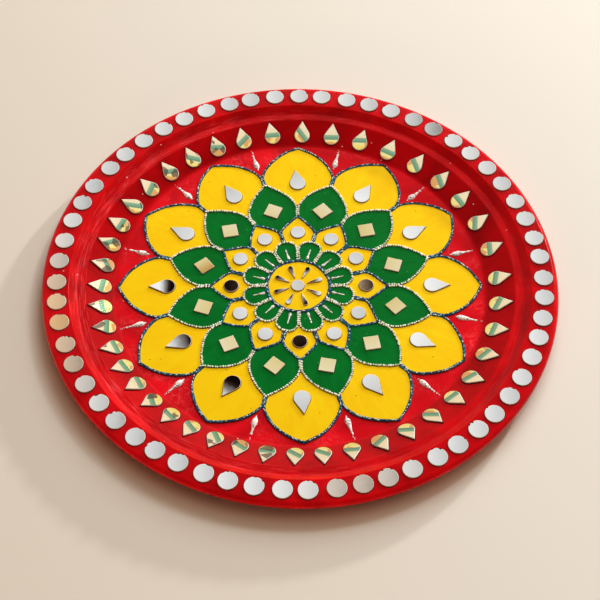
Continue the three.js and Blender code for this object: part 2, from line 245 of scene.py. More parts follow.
# Painted highlights: thin pale lines on the ledge and wall, strongest at the left, standing for the lamps'
# reflection in the bends
round_way = add_node(tree, "ShaderNodeMapping", {0: ring_place, "Scale": HIGHLIGHT_LINES})
highlight_line_noise = add_node(
    tree,
    "ShaderNodeTexNoise",
    {"Vector": round_way, "Scale": 1.0, "Detail": 3.0, "Roughness": 0.7},
)
highlight_line_part = add_node(tree, "ShaderNodeMapRange", {0: highlight_line_noise, 1: 0.5, 2: 0.7, 3: 0.02, 4: 0.75})
on_step = add_node(tree, "ShaderNodeMapRange", {0: radius, 1: STEP_FROM, 2: STEP_TO})
off_rim = add_node(tree, "ShaderNodeMapRange", {0: radius, 1: WALL_FROM, 2: WALL_TO})
step_only = add_node(tree, "ShaderNodeMath", {0: on_step, 1: off_rim}, operation="MULTIPLY")
lit_side = add_node(tree, "ShaderNodeMapRange", {0: parts["X"], 1: HIGHLIGHT_FROM_X, 2: HIGHLIGHT_FULL_X, 3: 0.2})
lit_step = add_node(tree, "ShaderNodeMath", {0: step_only, 1: lit_side}, operation="MULTIPLY")
highlight_line_share = add_node(tree, "ShaderNodeMath", {0: highlight_line_part, 1: lit_step}, operation="MULTIPLY")
stroke_and_highlight_share = add_node(tree, "ShaderNodeMath", {0: stroke_share, 1: highlight_line_share}, operation="ADD")
# Pale coral for the dry brush strokes on the floor and for the painted highlight lines
brushed = add_node(
    tree,
    "ShaderNodeMix",
    {"Factor": stroke_and_highlight_share, 6: red_and_painted_light_zones, 7: colour("fc5e66")},
    data_type="RGBA",
)
mottle = add_node(
    tree, "ShaderNodeTexNoise", {"Vector": place, "Scale": CLOUDS, "Detail": 3.0, "Distortion": 1.2}
)
thickness = add_node(tree, "ShaderNodeMapRange", {0: mottle, 1: 0.3, 2: 0.7, 3: 0.68, 4: 1.2})
toned = add_node(
    tree, "ShaderNodeVectorMath", {0: brushed.outputs[2], "Scale": thickness}, operation="SCALE"
)
spatter = add_node(tree, "ShaderNodeTexVoronoi", {"Vector": place, "Scale": SPATTERS})
spatter_spot = add_node(tree, "ShaderNodeMapRange", {0: spatter.outputs["Distance"], 1: 0.05, 2: 0.03})
speckled = add_node(
    tree,
    "ShaderNodeMix",
    {"Factor": spatter_spot, 6: toned, 7: colour("f3b6b4")},
    data_type="RGBA",
)
relief = add_node(tree, "ShaderNodeMath", {0: stroke_and_highlight_share, 1: spatter_spot}, operation="ADD")
raised = add_node(tree, "ShaderNodeBump", {"Height": relief, "Distance": 0.00012, "Strength": 0.6})
shader = add_node(
    tree,
    "ShaderNodeBsdfPrincipled",
    {
        "Base Color": speckled.outputs[2],
        "Roughness": 0.17,
        "Specular IOR Level": 0.36,
        "Specular Tint": (1, 0.05, 0.05, 1),
        "Normal": raised,
    },
)
add_node(tree, "ShaderNodeOutputMaterial", {0: shader})
blank.data.materials.append(lacquer)

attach(blank, "root")
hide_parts("plate_blank")


# Painted flower: four rings of twelve petals and a disc, brushed on in acrylic, one ring after the
# other. It sits 1.4 mm left of the plate's centre and comes true at the floor's edge, and each
# petal's edge wavers a little, as a hand-painted one does.
PETALS = 12
HALF_PITCH = math.pi / PETALS
FLOWER_TURN = math.radians(92)
FLOWER_SHIFT = -1.4 * MM
PAINT_FILM = 0.3 * MM
PAINT_TOP = FLOOR_TOP + PAINT_FILM
PAINT_ROUNDING = 0.1 * MM
PAIR_GAP = 0.4 * MM
VALLEY_BLUNT = 0.12 * MM
SHOULDER_START = 0.2 * MM
SHOULDER_STEPS = 5
SHOULDER_PASSES = 6
DISC_RADIUS = 16 * MM
DISC_STEPS = 8
SIDE_STEPS = 22
WAVER = 0.42 * MM
WAVER_LENGTH = 11 * MM
WAVER_SEED = 8
UNDER_OWN_LINE = 0.3 * MM
UNDER_INNER_LINE = 0.5 * MM
PAINT_EDGE_STEPS = 2
PAINT_SMOOTH = 20
DISC_EDGE_STEPS = 72
DISC = None
# Radii of tip and valley in mm, half the angle at the tip, how far each end pulls the curve, and
# how many petals the ring is turned by
ROUND_RING = {"tip": 28.6, "meet": 21, "opening": 90, "tip_pull": 4.3, "side_pull": 4.5, "stagger": 0.5}
SMALL_RING = {"tip": 45.3, "meet": 33, "opening": 45, "tip_pull": 6, "side_pull": 3.2, "stagger": 0}
GREEN_RING = {"tip": 68.6, "meet": 48, "opening": 55, "tip_pull": 12, "side_pull": 5, "stagger": 0.5}
OUTER_RING = {"tip": 92.5, "meet": 70.5, "opening": 71, "tip_pull": 15.5, "side_pull": 4, "stagger": 0}


def turned(point, angle):
    """A point of the plate turned about its centre."""
    cos, sin = math.cos(angle), math.sin(angle)
    return Vector((point.x * cos - point.y * sin, point.x * sin + point.y * cos))


noise.seed_set(WAVER_SEED)


def on_flower(point):
    """Where the off-centre painting puts a point of the flower."""
    fade = 1 - min(math.hypot(point.x, point.y) / FLOOR_RADIUS, 1)
    return Vector((point.x + FLOWER_SHIFT * fade, point.y))


def by_hand(point):
    """The same with the waver of the brush."""
    moved = on_flower(point)
    waver = noise.noise_vector(Vector((point.x, point.y, 0)) / WAVER_LENGTH) * WAVER
    return Vector((moved.x + waver.x, moved.y + waver.y))


def petal_angle(ring, index):
    return FLOWER_TURN + (index + ring["stagger"]) * 2 * HALF_PITCH


def petal_side(ring, grow):
    """Half a petal's edge along +X, from where it meets its neighbour out to its tip."""
    edge = Vector((math.cos(HALF_PITCH), math.sin(HALF_PITCH)))
    inset = Vector((edge.y, -edge.x)) * PAIR_GAP / 2
    meet = edge * (ring["meet"] * MM / edge.x) + inset
    tip = Vector((ring["tip"] * MM, 0))
    opening = math.radians(ring["opening"])
    tip_handle = Vector((-math.cos(opening), math.sin(opening))) * ring["tip_pull"] * MM
    side = geometry.interpolate_bezier(
        meet, meet + edge * ring["side_pull"] * MM, tip + tip_handle, tip, SIDE_STEPS
    )
    grown = []
    for i, point in enumerate(side):
        before = side[i - 1] if i else point - edge
        after = side[i + 1] if i < len(side) - 1 else Vector((before.x, -before.y))
        into = (point - before).normalized()
        out = (after - point).normalized()
        along = (into + out).normalized()
        reach = grow / max(along.dot(out), 0.5)
        grown.append(Vector((point.x - along.y * reach, point.y + along.x * reach)))
    return grown


def petal_half(ring, inner, aside, grow):
    """Half a petal's edge: outwards beside its neighbour, round a soft shoulder and on to the tip."""
    edge = Vector((math.cos(HALF_PITCH), math.sin(HALF_PITCH)))
    start = (DISC_RADIUS if inner is DISC else inner["tip"] * MM) + SHOULDER_START
    end = ring["meet"] * MM / edge.x
    inwards = Vector((edge.y, -edge.x)) * aside
    reaches = [start + (end - start) * step / SHOULDER_STEPS for step in range(SHOULDER_STEPS)]
    line = [edge * reach + inwards for reach in reaches]
    line += petal_side(ring, grow)
    for _ in range(SHOULDER_PASSES):
        eased = [(a + 2 * b + c) / 4 for a, b, c in zip(line, line[1:], line[2:])]
        line = [line[0]] + eased + [line[-1]]
    return line


def mirrored(points):
    return [Vector((point.x, -point.y)) for point in reversed(points)]


def petal_edge(ring, inner, grow, inner_grow):
    """A petal's whole painted edge along +X: its sides from root to tip and back, then its inside."""
    half = petal_half(ring, inner, PAIR_GAP / 2, grow)
    if inner is DISC:
        reach = DISC_RADIUS + inner_grow
        limit = HALF_PITCH - PAIR_GAP / 2 / reach
        steps = range(-DISC_STEPS, DISC_STEPS + 1)
        inside = [turned(Vector((reach, 0)), limit * step / DISC_STEPS) for step in steps]
    else:
        lower = [turned(point, -HALF_PITCH) for point in reversed(petal_side(inner, inner_grow))][1:]
        lower = [point for point in lower if point.y < -VALLEY_BLUNT]
        inside = lower + mirrored(lower)
    return half + mirrored(half)[1:] + inside


def slab(name, outline, bottom, thickness, rounding, segments):
    """A flat-backed piece cut to an outline, with its upper edge rounded over."""
    bpy.ops.mesh.primitive_circle_add(vertices=len(outline), radius=MM, fill_type="NGON")
    piece = named(name)
    for vertex, point in zip(piece.data.vertices, outline):
        vertex.co = (point.x, point.y, bottom)
    bpy.ops.object.mode_set(mode="EDIT")
    bpy.ops.mesh.select_mode(type="FACE")
    bpy.ops.mesh.select_all(action="SELECT")
    bpy.ops.mesh.extrude_region_move(TRANSFORM_OT_translate={"value": (0, 0, thickness)})
    bpy.ops.mesh.region_to_loop()
    bpy.ops.mesh.bevel(offset=rounding, segments=segments, affect="EDGES")
    bpy.ops.mesh.select_all(action="SELECT")
    bpy.ops.mesh.normals_make_consistent(inside=False)
    bpy.ops.object.mode_set(mode="OBJECT")
    return piece


def joined(name, made):
    """Joins pieces into one object with this name, at the origin."""
    pick(*made)
    if len(made) > 1:
        bpy.ops.object.join()
    return named(name)


def smoothed(piece, degrees):
    pick(piece)
    bpy.ops.object.shade_smooth_by_angle(angle=math.radians(degrees))


def turned_copies(piece, count, first_angle):
    """Copies of a piece turned round the plate's centre in even steps, the piece itself first."""
    made = [piece]
    for index in range(1, count):
        twin = piece.copy()
        twin.data = piece.data.copy()
        bpy.context.collection.objects.link(twin)
        made.append(twin)
    for index, each in enumerate(made):
        each.data.transform(Matrix.Rotation(first_angle + index * 2 * math.pi / count, 4, "Z"))
    return made


# Brushed acrylic: opaque and satin, thin in places about 18 mm across, with a grain of grit every
# 7 mm and ridges along the stroke, which runs round the ring
THIN_PLACES = 55.0
GRIT = 150.0


def acrylic(name, base, deep, speck, sheen, brush):
    """One colour of acrylic; brush gives its ridges per radian and per metre of radius."""
    made, tree = finish_named(name)
    place, _, _, ring_place = plate_places(tree)
    along = add_node(tree, "ShaderNodeMapping", {0: ring_place, "Scale": (*brush, 1)})
    ridges = add_node(
        tree,
        "ShaderNodeTexNoise",
        {"Vector": along, "Scale": 1.0, "Detail": 5.0, "Roughness": 0.65, "Distortion": 0.4},
    )
    cover = add_node(tree, "ShaderNodeTexNoise", {"Vector": place, "Scale": THIN_PLACES, "Detail": 3.0})
    mixed = add_node(tree, "ShaderNodeMath", {0: ridges, 1: cover}, operation="ADD")
    tone = add_node(tree, "ShaderNodeMapRange", {0: mixed, 1: 0.75, 2: 1.3})
    coat = add_node(
        tree,
        "ShaderNodeMix",
        {"Factor": tone, 6: colour(deep), 7: colour(base)},
        data_type="RGBA",
    )
    grit = add_node(tree, "ShaderNodeTexVoronoi", {"Vector": place, "Scale": GRIT})
    spot = add_node(tree, "ShaderNodeMapRange", {0: grit.outputs["Distance"], 1: 0.06, 2: 0.035})
    speckled = add_node(
        tree,
        "ShaderNodeMix",
        {"Factor": spot, 6: coat.outputs[2], 7: colour(speck)},
        data_type="RGBA",
    )
    raised = add_node(tree, "ShaderNodeBump", {"Height": ridges, "Distance": 0.00015, "Strength": 0.7})
    shader = add_node(
        tree,
        "ShaderNodeBsdfPrincipled",
        {
            "Base Color": speckled.outputs[2],
            "Roughness": 0.42,
            "Specular IOR Level": 0.3,
            "Specular Tint": colour(sheen),
            "Normal": raised,
        },
    )
    add_node(tree, "ShaderNodeOutputMaterial", {0: shader})
    return made


yellow_paint = acrylic("yellow_acrylic_brushed", "fddc10", "fccd08", "8a6414", "ffe860", (22, 60))
green_paint = acrylic("green_acrylic_brushed", "007527", "00631f", "3f9a4c", "10b860", (20, 70))


def paint_ring(node, name, ring, inner, material):
    """One ring of painted petals, bedded under its own and the inner ring's outlines."""
    edge = petal_edge(ring, inner, UNDER_OWN_LINE, UNDER_INNER_LINE)
    petal = slab(name, edge, FLOOR_TOP, PAINT_FILM, PAINT_ROUNDING, PAINT_EDGE_STEPS)
    coat = joined(name, turned_copies(petal, PETALS, petal_angle(ring, 0)))
    for vertex in coat.data.vertices:
        vertex.co.x, vertex.co.y = by_hand(vertex.co)
    smoothed(coat, PAINT_SMOOTH)
    coat.data.materials.append(material)
    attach(coat, "root")
    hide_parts(node)


paint_ring("outer_petal_paint", "outer_petals", OUTER_RING, GREEN_RING, yellow_paint)
paint_ring("green_petal_paint", "green_petals", GREEN_RING, SMALL_RING, green_paint)
paint_ring("small_petal_paint", "small_petals", SMALL_RING, ROUND_RING, yellow_paint)
paint_ring("small_green_petal_paint", "small_green_petals", ROUND_RING, DISC, green_paint)

disc_start = Vector((DISC_RADIUS + UNDER_OWN_LINE, 0))
disc_turns = [2 * math.pi * step / DISC_EDGE_STEPS for step in range(DISC_EDGE_STEPS)]
disc_edge = [turned(disc_start, turn) for turn in disc_turns]
disc = slab("centre_disc", disc_edge, FLOOR_TOP, PAINT_FILM, PAINT_ROUNDING, PAINT_EDGE_STEPS)
for vertex in disc.data.vertices:
    vertex.co.x, vertex.co.y = by_hand(vertex.co)
smoothed(disc, PAINT_SMOOTH)
disc.data.materials.append(yellow_paint)
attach(disc, "root")
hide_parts("centre_disc_paint")


# Raised outlines: glitter liner squeezed from a tube round every petal and down between neighbours,
# where the lines of both petals run side by side. Blue is set with fine flecks, silver goes on as a
# row of small beads.
LINE_WIDTH = 1.45 * MM
DISC_LINE_WIDTH = 1.9 * MM
BEADED_WIDTH = 1.0 * MM
LINE_RISE = 0.5 * MM
LINES_APART = 0.52 * MM
LINE_UNEVEN = (0.8, 1.15)
LINE_SMOOTH = 60
DISC_LINE_STEPS = 90
FLECK_EVERY, FLECK_SIZE, FLECK_SPREAD = 0.62 * MM, (0.5 * MM, 0.28 * MM, 0.24 * MM), 0.4 * MM
BEAD_EVERY, BEAD_SIZE, BEAD_SPREAD = 1.24 * MM, (0.54 * MM, 0.6 * MM, 0.3 * MM), 0.14 * MM
BEAD_SMOOTH = 80
GRAIN_TILT = 0.3
GRAIN_SIZES = (0.75, 1.2)
GRAIN_SLIP = 0.2
GRAIN_SWING = 0.15
GRAIN_SUNK = 0.3
# How much darker grains aside from the crown are: painted shade
PAINTED_SHADE_ASIDE = 0.75
hand = random.Random(12)


def petal_runs(ring, inner):
    """The lines drawn for one ring, each up one side of a petal and down the other."""
    half = petal_half(ring, inner, LINES_APART, 0)
    line = half + mirrored(half)[1:]
    angles = [petal_angle(ring, index) for index in range(PETALS)]
    return [[by_hand(turned(point, angle)) for point in line] for angle in angles]


def liner(name, runs, width, closed=False):
    """Beads of liner along runs of points, a little uneven in width, flat below."""
    curve = bpy.data.curves.new(name, "CURVE")
    curve.dimensions = "3D"
    curve.bevel_depth = width / 2
    curve.bevel_resolution = 2
    curve.use_fill_caps = not closed
    for run in runs:
        spline = curve.splines.new("POLY")
        spline.points.add(len(run) - 1)
        spline.use_cyclic_u = closed
        for point, place in zip(spline.points, run):
            point.co = (place.x, place.y, 0, 1)
            point.radius = hand.uniform(*LINE_UNEVEN)
    bead = bpy.data.objects.new(name, curve)
    bpy.context.collection.objects.link(bead)
    pick(bead)
    bpy.ops.object.convert(target="MESH")
    bead = named(name)
    for vertex in bead.data.vertices:
        vertex.co.z = PAINT_TOP + max(vertex.co.z * 2 * LINE_RISE / width, -PAINT_FILM)
    smoothed(bead, LINE_SMOOTH)
    return bead


def along_runs(runs, spacing):
    """Places at about this spacing along each run, with the direction there."""
    places = []
    for run in runs:
        left = spacing / 2
        for before, after in zip(run, run[1:]):
            length = (after - before).length
            while left < length:
                places.append((before.lerp(after, left / length), (after - before).normalized()))
                left += spacing
            left -= length
    return places


def lump(kind, **size):
    """The points and faces of one grain shape, of radius 1."""
    kind(radius=1, **size)
    shape = bpy.context.object
    points = [vertex.co.copy() for vertex in shape.data.vertices]
    faces = [tuple(face.vertices) for face in shape.data.polygons]
    bpy.data.objects.remove(shape)
    return points, faces


FLECK = lump(bpy.ops.mesh.primitive_ico_sphere_add, subdivisions=1)
BEAD = lump(bpy.ops.mesh.primitive_uv_sphere_add, segments=8, ring_count=5)


def grains(name, shape, places):
    """One mesh of glitter grains, each with its place, direction, three sizes and tone."""
    points, faces, tones = [], [], []
    for centre, angle, size, tone in places:
        first = len(points)
        turn = Euler((hand.uniform(-GRAIN_TILT, GRAIN_TILT), hand.uniform(-GRAIN_TILT, GRAIN_TILT), 0))
        for point in shape[0]:
            moved = point.copy()
            moved.rotate(turn)
            moved = Vector((moved.x * size[0], moved.y * size[1], moved.z * size[2]))
            moved.rotate(Euler((0, 0, angle)))
            points.append(centre + moved)
            tones.append(tone)
        faces += [tuple(first + corner for corner in face) for face in shape[1]]
    mesh = bpy.data.meshes.new(name)
    mesh.from_pydata(points, [], faces)
    mesh.attributes.new("tone", "FLOAT", "POINT").data.foreach_set("value", tones)
    made = bpy.data.objects.new(name, mesh)
    bpy.context.collection.objects.link(made)
    return made


def scattered(runs, spacing, size, spread):
    """Places for grains over lines of liner, highest in the middle of the line, and palest there as a
    painted highlight.
    """
    made = []
    for place, direction in along_runs(runs, spacing):
        off = hand.uniform(-spread, spread)
        across = Vector((-direction.y, direction.x)) * off
        slip = direction * hand.uniform(-GRAIN_SLIP, GRAIN_SLIP) * spacing
        grain = hand.uniform(*GRAIN_SIZES)
        crown = LINE_RISE * (1 - (2 * off / LINE_WIDTH) ** 2) - GRAIN_SUNK * grain * size[2]
        spot = place + across + slip
        angle = math.atan2(direction.y, direction.x) + hand.gauss(0, GRAIN_SWING)
        scaled = [grain * length for length in size]
        # Darker tones aside from the crown of the line: painted shade
        tone = hand.random() * (1 - PAINTED_SHADE_ASIDE * abs(off) / spread)
        made.append((Vector((spot.x, spot.y, PAINT_TOP + crown)), angle, scaled, tone))
    return made


def liner_paint(name, stops, flecks, surface):
    """Liner from a tube: gel with flecks of other tones, as many to the metre as flecks says."""
    made, tree = finish_named(name)
    place = add_node(tree, "ShaderNodeTexCoord").outputs["Object"]
    cells = add_node(tree, "ShaderNodeTexVoronoi", {"Vector": place, "Scale": flecks})
    tones = add_node(tree, "ShaderNodeSeparateColor", {0: cells.outputs["Color"]})
    pick_tone = add_node(tree, "ShaderNodeValToRGB", {0: tones})
    set_ramp(pick_tone, [(at, colour(code)) for at, code in stops], "CONSTANT")
    shader = add_node(tree, "ShaderNodeBsdfPrincipled", {"Base Color": pick_tone, **surface})
    add_node(tree, "ShaderNodeOutputMaterial", {0: shader})
    return made


def grain_finish(name, stops):
    """Glitter grains in a few colours, each grain one of them."""
    made, tree = finish_named(name)
    tone = add_node(tree, "ShaderNodeAttribute", attribute_name="tone")
    pick_tone = add_node(tree, "ShaderNodeValToRGB", {0: tone.outputs["Fac"]})
    set_ramp(pick_tone, [(at, colour(code)) for at, code in stops], "CONSTANT")
    shader = add_node(tree, "ShaderNodeBsdfPrincipled", {"Base Color": pick_tone, "Roughness": 0.4})
    add_node(tree, "ShaderNodeOutputMaterial", {0: shader})
    return made


# Glitter liner: dull coloured gel with flecks, about 0.8 mm apart here, coarser than real ones so
# that they show. The flecks and beads set on it are satin, and those aside from the crown of the line
# get darker tones, a painted shade where they face sideways
GLITTER = 1300.0
LINER_SURFACE = {"Roughness": 0.4, "Specular IOR Level": 0.2}
blue_stops = [(0, "04304a"), (0.6, "0c6488"), (0.9, "4a93ac")]
silver_stops = [(0, "2a5c30"), (0.6, "5f8450"), (0.9, "bcc8a0")]
blue_liner = liner_paint("blue_glitter_liner", blue_stops, GLITTER, LINER_SURFACE)
silver_liner = liner_paint("silver_glitter_liner", silver_stops, GLITTER, LINER_SURFACE)
blue_flecks = grain_finish(
    "blue_and_silver_flecks", [(0, "010e1a"), (0.2, "08608c"), (0.34, "58aec4"), (0.42, "f2fcf8")]
)
silver_beads = grain_finish("silver_white_beads", [(0, "d2dec4"), (0.1, "f8fff2"), (0.5, "ffffff")])


def outline_ring(node, name, runs, width, line_finish, closed=False):
    """The liner round one ring of petals."""
    line = liner(name, runs, width, closed)
    line.data.materials.append(line_finish)
    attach(line, "root")
    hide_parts(node)


def blue_line(node, name, runs, width=LINE_WIDTH, closed=False):
    """A blue line along each run, and the fine flecks set in it."""
    outline_ring(node, name + "_liner", runs, width, blue_liner, closed)
    places = scattered(runs, FLECK_EVERY, FLECK_SIZE, FLECK_SPREAD)
    dots = grains(name + "_flecks", FLECK, places)
    dots.data.materials.append(blue_flecks)
    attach(dots, "root")


def silver_line(node, name, runs):
    """A silver line along each run, and the row of beads on it."""
    outline_ring(node, name + "_liner", runs, BEADED_WIDTH, silver_liner)
    places = scattered(runs, BEAD_EVERY, BEAD_SIZE, BEAD_SPREAD)
    dots = grains(name + "_beads", BEAD, places)
    smoothed(dots, BEAD_SMOOTH)
    dots.data.materials.append(silver_beads)
    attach(dots, "root")


blue_line("outer_petal_outline", "outer_petal", petal_runs(OUTER_RING, GREEN_RING))
silver_line("green_petal_outline", "green_petal", petal_runs(GREEN_RING, SMALL_RING))
blue_line("small_petal_outline", "small_petal", petal_runs(SMALL_RING, ROUND_RING))
silver_line("small_green_petal_outline", "round_petal", petal_runs(ROUND_RING, DISC))
line_turns = [2 * math.pi * step / DISC_LINE_STEPS for step in range(DISC_LINE_STEPS)]
disc_run = [by_hand(turned(Vector((DISC_RADIUS, 0)), turn)) for turn in line_turns]
blue_line("centre_disc_outline", "centre_disc", [disc_run], DISC_LINE_WIDTH, closed=True)


# White strokes: pearl liner touched on by hand, a fat teardrop with dots at its ends on the red
# between the outer petals, and a short tapering stroke on each small green petal.
RED_STROKE = [
    (80.2, 0.3),
    (81.2, 0.4),
    (81.9, 1.1),
    (83.2, 1.55),
    (84.8, 1.45),
    (86.4, 0.95),
    (87.8, 0.6),
    (89.2, 0.42),
    (90.2, 0.6),
    (91.2, 0.5),
]
RED_STROKE_DOTS = [(92.2, 0.4), (93.1, 0.34), (93.9, 0.26)]
GREEN_STROKE = [
    (17.5, 0.5),
    (18.3, 0.8),
    (19.4, 0.6),
    (20.4, 0.3),
    (21.2, 0.42),
    (22.2, 0.24),
    (23.0, 0.34),
    (24.0, 0.18),
]


def stroke(name, shape, angle):
    """One touch of liner along a ray of the flower, as wide at each point as the brush pressed."""
    lean = hand.uniform(-0.03, 0.03)
    curve = bpy.data.curves.new(name, "CURVE")
    curve.dimensions = "3D"
    curve.bevel_depth = MM
    curve.bevel_resolution = 2
    curve.use_fill_caps = True
    spline = curve.splines.new("POLY")
    spline.points.add(len(shape) - 1)
    middle = shape[len(shape) // 2][0]
    for point, (reach, half_width) in zip(spline.points, shape):
        place = on_flower(turned(Vector((reach * MM, (reach - middle) * lean * MM)), angle))
        point.co = (place.x, place.y, 0, 1)
        point.radius = half_width * hand.uniform(0.88, 1.12)
    touch = bpy.data.objects.new(name, curve)
    bpy.context.collection.objects.link(touch)
    pick(touch)
    bpy.ops.object.convert(target="MESH")
    return named(name)


def pearl_strokes(name, shape, dots, ring, base):
    """The strokes of one ring, with their small end dots."""
    touches = []
    for index in range(PETALS):
        angle = petal_angle(ring, index) + hand.uniform(-0.02, 0.02)
        touches.append(stroke(name, shape, angle))
        for reach, half_width in dots:
            if hand.random() < 0.8:
                bpy.ops.mesh.primitive_uv_sphere_add(segments=10, ring_count=6, radius=half_width * MM)
                dot = named(name)
                place = on_flower(turned(Vector((reach * MM, 0)), angle + hand.uniform(-0.004, 0.004)))
                dot.data.transform(Matrix.Translation((place.x, place.y, 0)))
                touches.append(dot)
    made = joined(name, touches)
    for vertex in made.data.vertices:
        vertex.co.z = base + max(vertex.co.z * 0.5, -PAINT_FILM / 2)
    smoothed(made, 60)
    made.data.materials.append(pearl)
    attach(made, "root")


# Pearl liner: white with grey and pink flecks, glossy where it stands proud
PEARL_FLECKS = 1500.0
pearl_stops = [(0, "9c8a90"), (0.22, "f2ecec"), (0.6, "ffffff")]
pearl = liner_paint("white_pearl_liner", pearl_stops, PEARL_FLECKS, {"Roughness": 0.3})

GAPS_BETWEEN_OUTER = dict(OUTER_RING, stagger=0.5)
pearl_strokes("red_floor_strokes", RED_STROKE, RED_STROKE_DOTS, GAPS_BETWEEN_OUTER, FLOOR_TOP)
pearl_strokes("small_green_strokes", GREEN_STROKE, [], ROUND_RING, PAINT_TOP)


# Glued mirrors: thin glass, silvered on the back, cut to rounds, drops, squares and slivers, each
# pressed into a dab of brown adhesive that shows as a thin dark line round it, partly real adhesive and
# partly a painted contact shadow, and stains its cut side. The upper edge is ground to a narrow pale
# facet, with small nicks from the cutter.
GLASS = 0.5 * MM
ADHESIVE = 0.16 * MM
CUT_SHARE = 0.96
SQUEEZE = 0.1 * MM
GROUND_BEVEL = 0.16 * MM
FOIL_BEVEL = 0.26 * MM
SEAT_LIFT = 0.12 * MM
DAB_ROUNDING = 0.15 * MM
CUT_MAP = 16 * MM
glazier = random.Random(5)


def round_outline(diameter, steps=40):
    return [turned(Vector((diameter / 2, 0)), 2 * math.pi * step / steps) for step in range(steps)]


def drop_outline(width, length, steps=26):
    """A drop with its round end at the origin and its point, just blunted, along +X."""
    radius = width / 2
    point = length - radius
    tangent = math.acos(radius / point)
    blunt = 0.12 * MM
    shape = [Vector((point - 0.3 * MM, -blunt)), Vector((point, 0)), Vector((point - 0.3 * MM, blunt))]
    for step in range(steps + 1):
        angle = tangent + (2 * math.pi - 2 * tangent) * step / steps
        shape.append(turned(Vector((radius, 0)), angle))
    return shape


def square_outline(side):
    half = side / 2
    blunt = 0.15 * MM
    shape = []
    for corner in range(4):
        turn = corner * math.pi / 2
        shape.append(turned(Vector((half, -half + blunt)), turn))
        shape.append(turned(Vector((half, half - blunt)), turn))
    return shape


def nicked(outline, towards):
    """The outline with one to three small bites out of its edge, near one direction."""
    shape = [point.copy() for point in outline]
    for _ in range(glazier.randint(1, 3)):
        at = towards + glazier.gauss(0, 0.45)
        index = round(at / (2 * math.pi) * len(shape)) % len(shape)
        shape[index] *= glazier.uniform(0.88, 0.95)
        if glazier.random() < 0.5:
            shape[(index + 1) % len(shape)] *= glazier.uniform(0.93, 0.98)
    return shape


def grown(outline, by):
    """The outline moved out all round, for the adhesive under a chip."""
    shape = []
    for i, point in enumerate(outline):
        before = outline[i - 1]
        after = outline[(i + 1) % len(outline)]
        along = (after - before).normalized()
        shape.append(Vector((point.x + along.y * by, point.y - along.x * by)))
    return shape


def chip(name, outline, face_finish, bevel, chip_reflection):
    """One piece of mirror at the origin: its face, its ground facet and its stained cut side."""
    made = slab(name, [point * CUT_SHARE for point in outline], 0, GLASS, bevel, 1)
    for material in (face_finish, ground_edge, stained_side):
        made.data.materials.append(material)
    cut = made.data.uv_layers.new(name="cut")
    for face in made.data.polygons:
        if face.normal.z > 0.98:
            face.material_index = 0
        elif face.normal.z > 0.3:
            face.material_index = 1
        else:
            face.material_index = 2
        for corner in face.loop_indices:
            spot = made.data.vertices[made.data.loops[corner].vertex_index].co
            cut.data[corner].uv = (0.5 + spot.x / CUT_MAP, 0.5 + spot.y / CUT_MAP)
    tone = made.data.attributes.new("chip_reflection", "FLOAT_VECTOR", "POINT")
    tone.data.foreach_set("vector", list(chip_reflection) * len(made.data.vertices))
    return made


def seated(piece, place, angle, lift, slope=0.0, tilt=0.012):
    """Puts a piece on its seat: turned, leaned with the surface, and a touch out of level."""
    lean = Euler((glazier.uniform(-tilt, tilt), glazier.uniform(-tilt, tilt) - slope, 0))
    turn = Matrix.Rotation(angle, 4, "Z")
    piece.data.transform(Matrix.Translation((place.x, place.y, lift)) @ turn @ lean.to_matrix().to_4x4())


def dab(outline, thickness):
    """The adhesive squeezed out a little beyond a chip."""
    return slab("dab", grown(outline, SQUEEZE), 0, thickness, DAB_ROUNDING, PAINT_EDGE_STEPS)


def reflection_across(tree, side):
    """A chip's painted reflection values, and how dark its painted reflection is as it fades across the
    chip along X or Y.
    """
    cut = add_node(tree, "ShaderNodeUVMap", uv_map="cut")
    across = add_node(tree, "ShaderNodeSeparateXYZ", {0: cut}).outputs[side]
    chip_reflection = add_node(tree, "ShaderNodeAttribute", attribute_name="chip_reflection")
    facts = add_node(tree, "ShaderNodeSeparateXYZ", {0: chip_reflection.outputs["Vector"]}).outputs
    offset = add_node(tree, "ShaderNodeMath", {0: across, 1: 0.5}, operation="SUBTRACT")
    fade = add_node(tree, "ShaderNodeMath", {0: offset, 1: facts["Z"]}, operation="MULTIPLY")
    return facts, add_node(tree, "ShaderNodeMath", {0: fade, 1: facts["X"]}, operation="ADD")


# Silvered glass: a clean bright mirror with painted reflections: darker on chips that stand for ones
# reflecting the dark of the room, and warmer on those reflecting something tan. Each chip's values are
# (painted dark reflection, painted warm reflection, how far the dark fades across)
silvered, tree = finish_named("silvered_glass_cut")
facts, spread = reflection_across(tree, "X")
place = add_node(tree, "ShaderNodeTexCoord").outputs["Object"]
cloud = add_node(tree, "ShaderNodeTexNoise", {"Vector": place, "Scale": 320.0, "Detail": 3.0})
cloud_part = add_node(tree, "ShaderNodeMapRange", {0: cloud, 3: -0.12, 4: 0.12})
cloud_share = add_node(tree, "ShaderNodeMath", {0: cloud_part, 1: facts["X"]}, operation="MULTIPLY")
# Painted dark reflection, clouded a little
dark_reflection = add_node(tree, "ShaderNodeMath", {0: spread, 1: cloud_share}, operation="ADD")
silver = add_node(tree, "ShaderNodeValToRGB", {0: dark_reflection})
set_ramp(
    silver,
    [
        (0, colour("fbfbfc")),
        (0.3, colour("cfd0d2")),
        (0.55, colour("85807f")),
        (0.8, colour("32241d")),
        (1, colour("120b08")),
    ],
)
